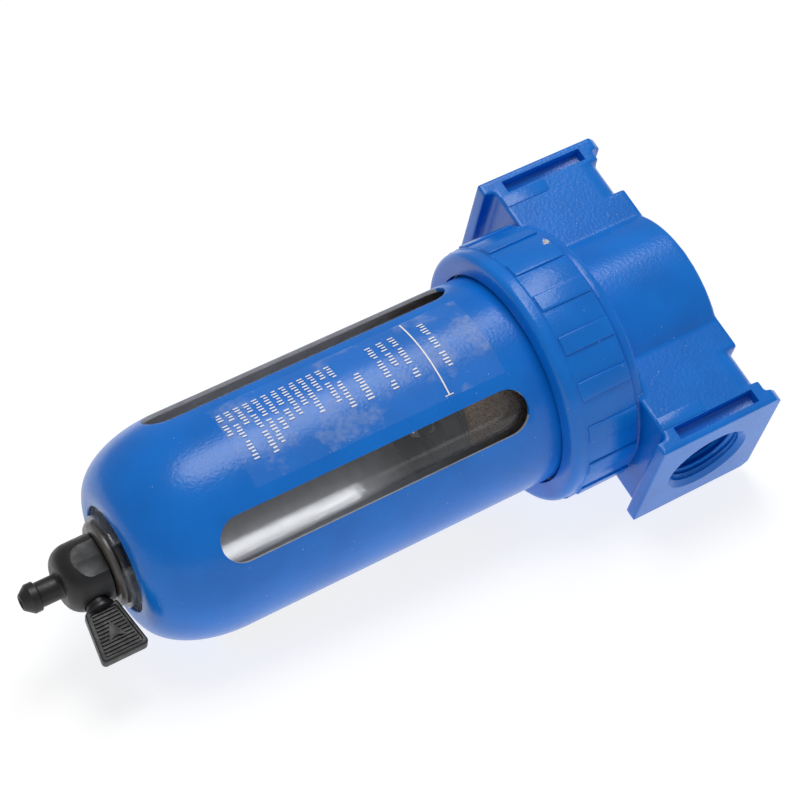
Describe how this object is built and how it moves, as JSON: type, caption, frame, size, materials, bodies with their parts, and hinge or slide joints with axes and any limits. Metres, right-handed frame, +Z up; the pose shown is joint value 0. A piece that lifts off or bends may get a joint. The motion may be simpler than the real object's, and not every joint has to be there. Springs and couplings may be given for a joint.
{
  "type": "compressed air filter",
  "caption": "Modular pneumatic filter with two threaded ports, a clear bowl in a slotted metal guard, a retaining ring nut and a quarter-turn drain cock.",
  "frame": {"origin": "where the port axis meets the bowl axis, inside the head", "axes": "+Z up along the bowl axis, +X along the port axis towards the outlet, -Y the front with the label"},
  "size_m": [0.09, 0.072, 0.1929],
  "materials": {
    "blue_paint": "gloss",
    "clear_polycarbonate": "gloss",
    "label_film": "satin",
    "sintered_bronze": "matte",
    "black_plastic": "satin",
    "grey_nylon": "satin",
    "black_rubber": "matte",
    "zinc_steel": "satin",
    "plain_brass": "satin"
  },
  "bodies": {
    "head": {"filter_head": "blue_paint", "swirl_deflector": "black_plastic", "upper_seal": "black_rubber", "filter_element": "sintered_bronze", "lower_seal": "black_rubber", "baffle": "black_plastic", "element_stud": "zinc_steel", "stud_washer": "zinc_steel", "stud_nut": "zinc_steel"},
    "bowl_assembly": {"bowl_guard": "blue_paint", "guard_label": "label_film", "bowl": "clear_polycarbonate", "bowl_oring": "black_rubber", "thrust_washer": "zinc_steel", "drain_washer": "grey_nylon", "drain_body": "black_plastic", "drain_oring": "black_rubber", "drain_gasket": "black_rubber", "drain_nut": "plain_brass"},
    "ring": {"retaining_ring": "blue_paint"},
    "drain_valve": {"drain_plug": "black_plastic", "plug_oring": "black_rubber", "drain_lever": "black_plastic"}
  },
  "joints": [
    {"name": "bowl_drop", "type": "slide", "parent": "head", "child": "bowl_assembly", "axis": [0, 0, -1], "range_m": [0, 0.008]},
    {"name": "ring_turn", "type": "hinge", "parent": "bowl_assembly", "child": "ring", "pos_m": [0, 0, -0.027], "axis": [0, 0, -1], "range_deg": [0, 1440]},
    {"name": "drain_turn", "type": "hinge", "parent": "bowl_assembly", "child": "drain_valve", "pos_m": [0, 0, -0.158], "axis": [1, 0, 0], "range_deg": [0, 90]}
  ],
  "couplings": [
    {"joint": "bowl_drop", "follows": "ring_turn", "m_per_rad": 0.0003183}
  ]
}
